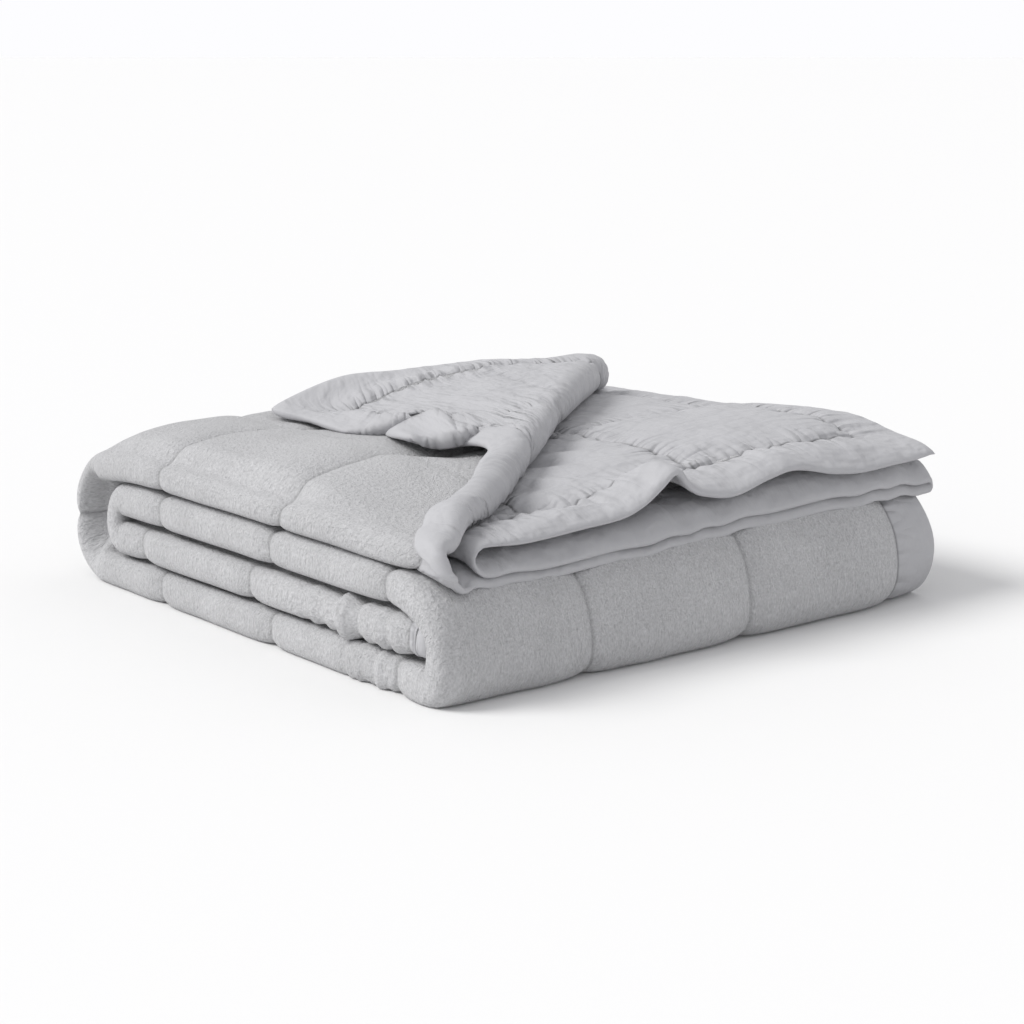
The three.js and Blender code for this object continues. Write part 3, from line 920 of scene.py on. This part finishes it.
# %% How finely each block is divided
BLOCK = 4
COARSE, STRIPS, FINE = 0, 1, 2
BENDS = (1, 3, 4, 6)  # pieces of the roll's path that bend
BESIDE_BEND, FRONT_REACH, FOLD_REACH, HEM_REACH = 12, 36, 20, 12  # how far each needs more faces
SEEN_TOP_U, SEEN_NEAR_U, SEEN_PLUSH_V = 760, (1240, 1480), 640
SEEN_SMOOTH_U, SEEN_SMOOTH_V = 500, (600, 1830)
END_HEM_U, END_SEEN_U = 20, 70  # the end hems, and the near end as far in as it shows
BEND_SEEN_U, BEND_SEEN_V = 1200, 700


def grade(side, u, v):
    """How finely this side of the cloth is divided there: side 0 is plush, 1 is microfibre."""
    roll_bend = any(ROLL_AT[i] - BESIDE_BEND < u < ROLL_AT[i + 1] + BESIDE_BEND for i in BENDS)
    front = abs(v - FRONT_FOLD) < FRONT_REACH
    back = abs(v - BACK_FOLD) < FOLD_REACH
    nested = abs(v - NESTED_FOLD) < FOLD_REACH
    seen_plush = v < SEEN_PLUSH_V and (u < SEEN_TOP_U or SEEN_NEAR_U[0] < u < SEEN_NEAR_U[1])
    seen_smooth = u < SEEN_SMOOTH_U and (v < SEEN_SMOOTH_V[0] or v > SEEN_SMOOTH_V[1])
    seen_end = u < END_SEEN_U and (front or nested or v > SEEN_PLUSH_V)
    if min(u, LONG - u) < END_HEM_U or seen_end:
        return FINE
    if (side == 0 and (seen_plush or front)) or (side == 1 and seen_smooth):
        return FINE
    if front or back or nested or min(v, WIDE - v) < HEM_REACH:
        return FINE if roll_bend else STRIPS
    seen_bend = roll_bend and side == 0 and u > BEND_SEEN_U and v < BEND_SEEN_V
    return FINE if seen_bend else COARSE


print("grade of the front fold:", grade(0, LONG / 2, FRONT_FOLD))
print("grade of a hidden ply:", grade(1, LONG / 3, WIDE / 3))

# %% Blocks of stations
ROWS, COLUMNS = len(US), len(VS)
SPANS_U = [(i, min(i + BLOCK, ROWS - 1)) for i in range(0, ROWS - 1, BLOCK)]
SPANS_V = [(j, min(j + BLOCK, COLUMNS - 1)) for j in range(0, COLUMNS - 1, BLOCK)]
print("blocks on each side:", len(SPANS_U) * len(SPANS_V))


# %% Faces of one block
def at(side, i, j):
    """Number of a side's point at station i along and j across."""
    return (side * ROWS + i) * COLUMNS + j


def block_faces(side, mine, block, kept):
    """Faces of a block from a to b and c to d; `kept` is the step between points on each side."""
    a, b, c, d = block
    step_a, step_b, step_c, step_d = kept
    rings = []
    if mine == FINE:
        cells = [(i, j) for i in range(a, b) for j in range(c, d)]
        rings = [[(i, j), (i + 1, j), (i + 1, j + 1), (i, j + 1)] for i, j in cells]
    elif mine == STRIPS:
        for j in range(c, d):
            low = step_c if j == c else BLOCK
            high = step_d if j == d - 1 else BLOCK
            ring = [(i, j) for i in range(a, b, low)] + [(b, j)]
            ring += [(i, j + 1) for i in range(b, a, -high)] + [(a, j + 1)]
            rings.append(ring)
    else:
        ring = [(i, c) for i in range(a, b, step_c)]
        ring += [(b, j) for j in range(c, d, step_b)]
        ring += [(i, d) for i in range(b, a, -step_d)]
        ring += [(a, j) for j in range(d, c, -step_a)]
        rings.append(ring)
    return [[at(side, i, j) for i, j in ring] for ring in rings]


fine_block = block_faces(0, FINE, (0, BLOCK, 0, BLOCK), (1, 1, 1, 1))
print("a fine block has", len(fine_block), "faces")


# %% Faces of the two sides and the hem's rim
def side_faces(side):
    """All faces of one side of the cloth."""
    middles_u = [(US[a] + US[b]) / 2 for a, b in SPANS_U]
    middles_v = [(VS[c] + VS[d]) / 2 for c, d in SPANS_V]
    grades = np.pad([[grade(side, u, v) for v in middles_v] for u in middles_u], 1, constant_values=FINE)
    made = []
    for p, (a, b) in enumerate(SPANS_U, 1):
        for q, (c, d) in enumerate(SPANS_V, 1):
            mine = grades[p, q]
            step_a = BLOCK if COARSE == mine == grades[p - 1, q] else 1
            step_b = BLOCK if COARSE == mine == grades[p + 1, q] else 1
            step_c = 1 if FINE in (mine, grades[p, q - 1]) else BLOCK
            step_d = 1 if FINE in (mine, grades[p, q + 1]) else BLOCK
            made += block_faces(side, mine, (a, b, c, d), (step_a, step_b, step_c, step_d))
    return made


def rim_faces():
    """Faces that join the two sides round the hem."""
    rim = [(i, 0) for i in range(ROWS - 1)]
    rim += [(ROWS - 1, j) for j in range(COLUMNS - 1)]
    rim += [(i, COLUMNS - 1) for i in range(ROWS - 1, 0, -1)]
    rim += [(0, j) for j in range(COLUMNS - 1, 0, -1)]
    pairs = zip(rim, rim[1:] + rim[:1])
    return [[at(0, *there), at(0, *here), at(1, *here), at(1, *there)] for here, there in pairs]


plush_faces, rim = side_faces(0), rim_faces()
inner_faces = [face[::-1] for face in side_faces(1)]
faces = plush_faces + inner_faces + rim
print(len(plush_faces), "plush faces,", len(inner_faces), "microfibre faces,", len(rim), "round the rim")

# %% [markdown]
# The border on the plush side is smooth on the real blanket, so it has the microfibre too. It
# could be an object of its own, but then a gap would open at its seam. So the mesh is one, and
# each face is given one of the two fabrics. Points that no face uses are left out.

# %% The cloth's mesh
used = np.zeros(2 * ROWS * COLUMNS, bool)
for face in faces:
    used[face] = True
number = np.cumsum(used) - 1
flat_points = points.transpose(0, 2, 3, 1).reshape(-1, 3)
mesh = bpy.data.meshes.new("blanket cloth")
mesh.from_pydata(flat_points[used].tolist(), [], [[int(number[k]) for k in f] for f in faces])
to_hem_at = np.concatenate([TO_HEM.ravel(), TO_HEM.ravel()])
smooth_border = np.array([np.mean(to_hem_at[face]) < BORDER for face in faces])
smooth_side = np.repeat([0, 1, 0], [len(plush_faces), len(inner_faces), len(rim)])
fabrics = np.maximum(smooth_side, smooth_border).astype(np.int32)
mesh.polygons.foreach_set("material_index", fabrics)
mesh.polygons.foreach_set("use_smooth", np.ones(len(faces), bool))
print(len(faces), "faces,", sum(len(face) - 2 for face in faces), "triangles")

# %% [markdown]
# ## Coordinates for the materials
#
# Real pile, threads and stitches follow the cloth round each fold, so box or object mapping
# would slide over it. The flat cloth's own coordinates go along as a UV map in metres, and
# the distances to the seams as attributes, so that a stitch line in a material lies exactly
# where the shape is pinched.

# %% UV map and attributes
loops = np.zeros(len(mesh.loops), dtype=np.int32)
mesh.loops.foreach_get("vertex_index", loops)


def on_vertices(grid):
    return np.concatenate([grid.ravel(), grid.ravel()])[used]


uv = mesh.uv_layers.new(name="flat cloth")
flat_uv = np.stack([on_vertices(U), on_vertices(V)], axis=1) * MM
uv.data.foreach_set("uv", flat_uv[loops].ravel())
for name, grid in (("to seam along", TO_SEAM_U), ("to seam across", TO_SEAM_V)):
    layer = mesh.attributes.new(name, "FLOAT", "POINT")
    layer.data.foreach_set("value", on_vertices(np.ascontiguousarray(grid)).astype(np.float32))
mesh.update()
print("attributes:", [layer.name for layer in mesh.attributes if layer.name.startswith("to ")])

# %% [markdown]
# The real blanket is one piece that nothing joins, so it is one object. Each fold could be its
# own object, but no fold ends anywhere. It takes the place of the solid's one node.

# %% The blanket as one object
blanket = bpy.data.objects.new("blanket_in_folds", mesh)
bpy.context.collection.objects.link(blanket)
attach(blanket, "root")
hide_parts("blanket")
print(blanket.name, "has", len(mesh.vertices), "points")

# %% [markdown]
# ## Materials
#
# The blanket has two fabrics: a short plush pile and a smooth brushed microfibre, both of
# polyester. Image textures could show them, but patterns worked out from real sizes stay
# sharp at any distance. Each pattern is noise over the flat cloth, with lumps of a size in
# millimetres. One small function adds every node with its settings and links.

# %% Colours and nodes
def rgb(code):
    """An sRGB hex code as linear colour."""
    parts = [int(code[k : k + 2], 16) / 255 for k in (0, 2, 4)]
    return [c / 12.92 if c <= 0.04045 else ((c + 0.055) / 1.055) ** 2.4 for c in parts] + [1.0]


def add(tree, kind, sockets=(), out=0, **settings):
    """Adds a node and gives its output `out`.

    Sockets are given by name or in their own order, each as a value or another node's output.
    """
    made = tree.nodes.new(kind)
    for name, value in settings.items():
        setattr(made, name, value)
    for name, value in sockets.items() if isinstance(sockets, dict) else enumerate(sockets):
        if isinstance(value, bpy.types.NodeSocket):
            tree.links.new(value, made.inputs[name])
        else:
            made.inputs[name].default_value = value
    return made.outputs[out]


print("middle grey 808080 is", round(rgb("808080")[0], 3), "as linear colour")

# %% [markdown]
# The stitching gathers both real fabrics into fine puckers, which run square to the seam. A
# picture of puckers would repeat, and uneven noise doesn't. So each fabric starts with two
# noises, stretched square to the seams of each way, and then has patterns of its own.

# %% A fabric and its patterns
PUCKERS = {
    # size in millimetres, stretch, detail, roughness, place in the noise
    "to seam along": (15, (6, 1, 1), 1.0, 0.5, 3.1),
    "to seam across": (15, (1, 6, 1), 1.0, 0.5, 7.7),
}


def fabric(name, colour, finish, own_patterns):
    """A material, its nodes, its shader and its patterns."""
    material = bpy.data.materials.new(name)
    material.use_nodes = True
    tree = material.node_tree
    shader = tree.nodes["Principled BSDF"]
    shader.inputs["Base Color"].default_value = rgb(colour)
    for socket, value in finish.items():
        shader.inputs[socket].default_value = value
    flat_cloth = add(tree, "ShaderNodeUVMap", uv_map="flat cloth")
    patterns = {}
    for pattern, (size, stretch, detail, rough, at) in {**PUCKERS, **own_patterns}.items():
        scale = [1000 / size / k for k in stretch]
        moved = {"Vector": flat_cloth, "Scale": scale, "Location": (at, 2 * at, 3 * at)}
        where = add(tree, "ShaderNodeMapping", moved)
        sockets = {"Vector": where, "Scale": 1.0, "Detail": detail, "Roughness": rough}
        patterns[pattern] = add(tree, "ShaderNodeTexNoise", sockets, "Fac")
    return material, tree, shader, patterns


print("puckers are", PUCKERS["to seam along"][0], "mm wide and six times as long")

# %% [markdown]
# A real pucker has a sharp valley and fades away from the seam, and the stitch line itself is
# a narrow groove. They could be in the mesh, but they are narrower than its faces, so they
# are bump.

# %% Puckers
GROOVE_WIDE, GROOVE_DEEP = 1.8, 0.4  # millimetres at each side, and a share of a pucker's depth
VALLEY_WIDE = 0.2  # share of the noise at both sides of a valley's bottom


def puckers(tree, patterns, reach):
    """Height of the puckers, which fade over `reach` millimetres from the seams."""
    heights = []
    for seam in PUCKERS:
        away = add(tree, "ShaderNodeAttribute", out="Fac", attribute_name=seam)
        fade = add(tree, "ShaderNodeMath", (away, -1 / reach), operation="MULTIPLY")
        fade = add(tree, "ShaderNodeMath", (fade,), operation="EXPONENT")
        centred = add(tree, "ShaderNodeMath", (patterns[seam], 0.5), operation="SUBTRACT")
        sharp = add(tree, "ShaderNodeMath", (centred,), operation="ABSOLUTE")
        valleys = add(tree, "ShaderNodeMapRange", (sharp, 0, VALLEY_WIDE, 0, 1))
        groove = add(tree, "ShaderNodeMath", (away, -1 / GROOVE_WIDE), operation="MULTIPLY")
        groove = add(tree, "ShaderNodeMath", (groove,), operation="EXPONENT")
        pinch = add(tree, "ShaderNodeMath", (groove, -GROOVE_DEEP), operation="MULTIPLY")
        faded = add(tree, "ShaderNodeMath", (valleys, fade), operation="MULTIPLY")
        heights.append(add(tree, "ShaderNodeMath", (faded, pinch), operation="ADD"))
    return add(tree, "ShaderNodeMath", heights, operation="ADD")


print("the stitch line's groove is", GROOVE_WIDE, "mm wide at each side")

# %% [markdown]
# Real fabric is a little lighter or darker from place to place, where its fibres lie another
# way. Less light comes into its stitch lines, so there the colour is darkened too: painted
# shade. Colours could be mixed by hand for both. Multiplying one colour by shares of light
# keeps its hue.

# %% Shades
# the stitches' painted shade is darkest within this distance of the seam
STITCH_FROM = 0.4  # millimetres from the seam within which the shade is darkest


def shade(tree, shader, colour, parts, darkest, wide):
    """Links the colour to the shader, lighter or darker by each part and at the stitches.

    A part is a pattern, its low and high, and the share of light at both. At the stitches the
    colour keeps the share `darkest`, as painted shade, and this painted shade ends `wide`
    millimetres from the seam.
    """
    # the stitches darken the colour last: painted shade in their grooves
    away = [add(tree, "ShaderNodeAttribute", out="Fac", attribute_name=seam) for seam in PUCKERS]
    nearer = add(tree, "ShaderNodeMath", away, operation="MINIMUM")
    light = 1.0
    for part in parts + [(nearer, STITCH_FROM, wide, darkest, 1.0)]:
        share = add(tree, "ShaderNodeMapRange", part)
        light = add(tree, "ShaderNodeMath", (light, share), operation="MULTIPLY")
    shaded = add(tree, "ShaderNodeHueSaturation", {"Value": light, "Color": rgb(colour)})
    tree.links.new(shaded, shader.inputs["Base Color"])


print("the shade is darkest within", STITCH_FROM, "mm of a seam")


# %% Relief
def relief(tree, shader, layers):
    """Links the heights to the shader's normal; each layer is (height, depth in millimetres)."""
    normal = None
    for height, depth in layers:
        sockets = {"Height": height, "Distance": depth * MM, "Strength": 1.0}
        if normal is not None:
            sockets["Normal"] = normal
        normal = add(tree, "ShaderNodeBump", sockets)
    tree.links.new(normal, shader.inputs["Normal"])


print("materials so far:", len(bpy.data.materials))

# %% [markdown]
# ### Plush pile
#
# Plush is knitted polyester with a dense velvety pile, here about 3 mm long and light grey.
# Particle hair could be grown on it, but from a step away the pile is only a fine grain. Its
# strands are far thinner than a pixel, so the grain is drawn at 1.7 mm, as coarse as it needs
# to show. Tufts lean this way and that, and broad brushed patches are lighter or darker. Pile
# is very rough and has hardly any gloss, but a sheen where it is seen from the side.

# %% The plush pile
PLUSH = "B7B7B9"
PLUSH_FINISH = {
    # typical of velvet, then matched to the object: no gloss, and a soft sheen at its edges
    "Roughness": 0.95,
    "Specular IOR Level": 0.15,
    "Sheen Weight": 0.35,
    "Sheen Roughness": 0.45,
}
PLUSH_PATTERNS = {
    # size in millimetres, stretch, detail, roughness, place in the noise
    "grain": (1.7, (1, 1, 1), 3.0, 0.6, 0.0),
    "tufts": (4.6, (1, 1, 1), 2.0, 0.5, 1.3),
    "brushed": (48, (1, 1.3, 1), 3.0, 0.6, 5.2),
}
plush_pile, tree, shader, pattern = fabric("plush pile", PLUSH, PLUSH_FINISH, PLUSH_PATTERNS)
lights = [
    (pattern["grain"], 0.3, 0.7, 0.8, 1.17),
    (pattern["tufts"], 0.3, 0.7, 0.93, 1.06),
    (pattern["brushed"], 0.35, 0.65, 0.95, 1.04),
]
# painted shade at the stitches: 0.75 of the light, fading out 3.5 mm from the seam
shade(tree, shader, PLUSH, lights, darkest=0.75, wide=3.5)
plush_puckers = puckers(tree, pattern, reach=8)
relief(tree, shader, [(plush_puckers, 0.9), (pattern["tufts"], 2.4), (pattern["grain"], 1.6)])
mesh.materials.append(plush_pile)
print(plush_pile.name, "has", len(tree.nodes), "nodes")

# %% [markdown]
# ### Smooth microfibre
#
# Microfibre is a close polyester weave, brushed on one side. Its threads are too fine to show
# and are drawn at 0.9 mm, as coarse as they need to. It is a little satiny, so it has a lower
# roughness and more gloss than the pile. Its puckers are longer and deeper, and soft small
# wrinkles run over the boxes. They are too many and too shallow for the mesh, so they are bump.

# %% The smooth microfibre
MICROFIBRE = "B0B0B3"
MICROFIBRE_FINISH = {
    # typical of a close polyester weave, then matched: a faint satin gloss, with little sheen
    "Roughness": 0.62,
    "Specular IOR Level": 0.3,
    "Sheen Weight": 0.15,
    "Sheen Roughness": 0.3,
}
MICROFIBRE_PATTERNS = {
    "weave": (0.9, (1, 1, 1), 2.0, 0.5, 0.0),
    "wrinkles": (38, (1, 1.7, 1), 3.0, 0.55, 9.1),
    "small wrinkles": (11, (1.8, 1, 1), 2.0, 0.5, 4.4),
}
microfibre, tree, shader, pattern = fabric(
    "smooth microfibre", MICROFIBRE, MICROFIBRE_FINISH, MICROFIBRE_PATTERNS
)
lights = [
    (pattern["weave"], 0.3, 0.7, 0.985, 1.015),
    (pattern["wrinkles"], 0.3, 0.7, 0.98, 1.02),
]
# painted shade at the stitches: 0.6 of the light, fading out 2.4 mm from the seam
shade(tree, shader, MICROFIBRE, lights, darkest=0.6, wide=2.4)
wrinkle_heights = add(tree, "ShaderNodeMapRange", (pattern["wrinkles"], 0.32, 0.68, 0, 1))
small_heights = add(tree, "ShaderNodeMapRange", (pattern["small wrinkles"], 0.35, 0.65, 0, 1))
smooth_puckers = puckers(tree, pattern, reach=18)
relief(
    tree,
    shader,
    [(smooth_puckers, 4.6), (wrinkle_heights, 3.8), (small_heights, 0.5), (pattern["weave"], 0.12)],
)
mesh.materials.append(microfibre)
print(microfibre.name, "has", len(tree.nodes), "nodes")

# %% [markdown]
# ## Floor, camera and light
#
# The blanket is shown in a bright studio, on a pale floor that runs on out of sight. A curved
# backdrop could hide the horizon. Here the floor is one large square, and the world's light
# is as bright at the horizon as the floor, so no edge shows.

# %% The floor
FLOOR_WIDE = 400  # metres
FLOOR_COLOUR = "E6E6E6"
FLOOR_ROUGH = 0.9  # matt board
s = FLOOR_WIDE / 2
floor_mesh = bpy.data.meshes.new("pale_floor")
floor_mesh.from_pydata([(-s, -s, 0), (s, -s, 0), (s, s, 0), (-s, s, 0)], [], [(0, 1, 2, 3)])
floor = bpy.data.objects.new("pale_floor", floor_mesh)
bpy.context.collection.objects.link(floor)
pale = bpy.data.materials.new("pale floor")
pale.use_nodes = True
pale_shader = pale.node_tree.nodes["Principled BSDF"]
pale_shader.inputs["Base Color"].default_value = rgb(FLOOR_COLOUR)
pale_shader.inputs["Roughness"].default_value = FLOOR_ROUGH
floor_mesh.materials.append(pale)
print("the floor is", FLOOR_WIDE, "m wide")

# %% [markdown]
# The real blanket is one soft sheet. Its folds are all placed above, so this cell only prints
# the cloth's flat size, that it is folded, and that it rests on the floor.

# %% The blanket as a sheet
print("a sheet of", round(WIDE), "by", round(LONG), "mm, folded, on", floor.name)

# %% [markdown]
# The camera stands where the photograph's stood. Its place, direction and lens were found by
# fitting a pinhole camera to the pile's three corners on the floor.

# %% The camera
CAMERA_AT = (1720.8, -1365.0, 547.9)  # in the fold's own millimetres
CAMERA_DOWN, CAMERA_TURN = 12.04, 51.20  # degrees below level, and round to the left from +Y
LENS, SENSOR = 76.96, 36  # millimetres
CLIP_END = 100  # metres
camera_data = bpy.data.cameras.new("camera")
camera_data.sensor_width = SENSOR
camera_data.lens = LENS
camera_data.clip_end = CLIP_END
camera = bpy.data.objects.new("camera", camera_data)
camera.location = (Vector(CAMERA_AT) - Vector(ORIGIN)) * MM
camera.rotation_euler = (math.radians(90 - CAMERA_DOWN), 0, math.radians(CAMERA_TURN))
bpy.context.collection.objects.link(camera)
bpy.context.scene.camera = camera
print("camera at", [round(c, 3) for c in camera.location], "metres")

# %% [markdown]
# One large soft light comes from above and to the left of the camera. The real shadows have
# wide, soft edges, so the light is a sun with a wide angle. A lamp near the blanket would
# light one end more than the other.

# %% The soft key light
KEY_STRENGTH, KEY_ANGLE, KEY_COLOUR = 2.4, 28, (1.0, 0.995, 0.98)
KEY_AZIMUTH, KEY_ELEVATION = math.radians(-32), math.radians(45)
KEY_AWAY = 3  # metres, which a sun's light doesn't depend on
key_data = bpy.data.lights.new("soft key light", "SUN")
key_data.energy = KEY_STRENGTH
key_data.angle = math.radians(KEY_ANGLE)
key_data.color = KEY_COLOUR
key = bpy.data.objects.new("soft key light", key_data)
level = math.cos(KEY_ELEVATION)
way = (math.sin(KEY_AZIMUTH) * level, -math.cos(KEY_AZIMUTH) * level, math.sin(KEY_ELEVATION))
key.rotation_euler = (-Vector(way)).to_track_quat("-Z", "Y").to_euler()
key.location = Vector(way) * KEY_AWAY
bpy.context.collection.objects.link(key)
print("key light from", [round(c, 2) for c in way], "with an angle of", KEY_ANGLE, "degrees")

# %% [markdown]
# The rest of the light comes evenly from all round, as from white walls. An image of a studio
# could light it too, but a plain backdrop needs only two strengths: full at the horizon, where
# it meets the floor, and less above.

# %% The backdrop
BACKDROP = "FDFDFF"
HORIZON_LIGHT, HIGH_LIGHT = 1.0, 0.72
HORIZON_ENDS = (0.03, 0.14)  # height of the direction, from level at 0 to straight up at 1
world = bpy.data.worlds.new("studio")
bpy.context.scene.world = world
world.use_nodes = True
backdrop = world.node_tree.nodes["Background"]
backdrop.inputs["Color"].default_value = rgb(BACKDROP)
direction = add(world.node_tree, "ShaderNodeTexCoord", out="Generated")
height = add(world.node_tree, "ShaderNodeSeparateXYZ", (direction,), "Z")
strengths = (height, *HORIZON_ENDS, HORIZON_LIGHT, HIGH_LIGHT)
strength = add(world.node_tree, "ShaderNodeMapRange", strengths)
world.node_tree.links.new(strength, backdrop.inputs["Strength"])
bpy.context.scene.view_settings.view_transform = "Standard"
print("backdrop strength:", HORIZON_LIGHT, "at the horizon and", HIGH_LIGHT, "above")
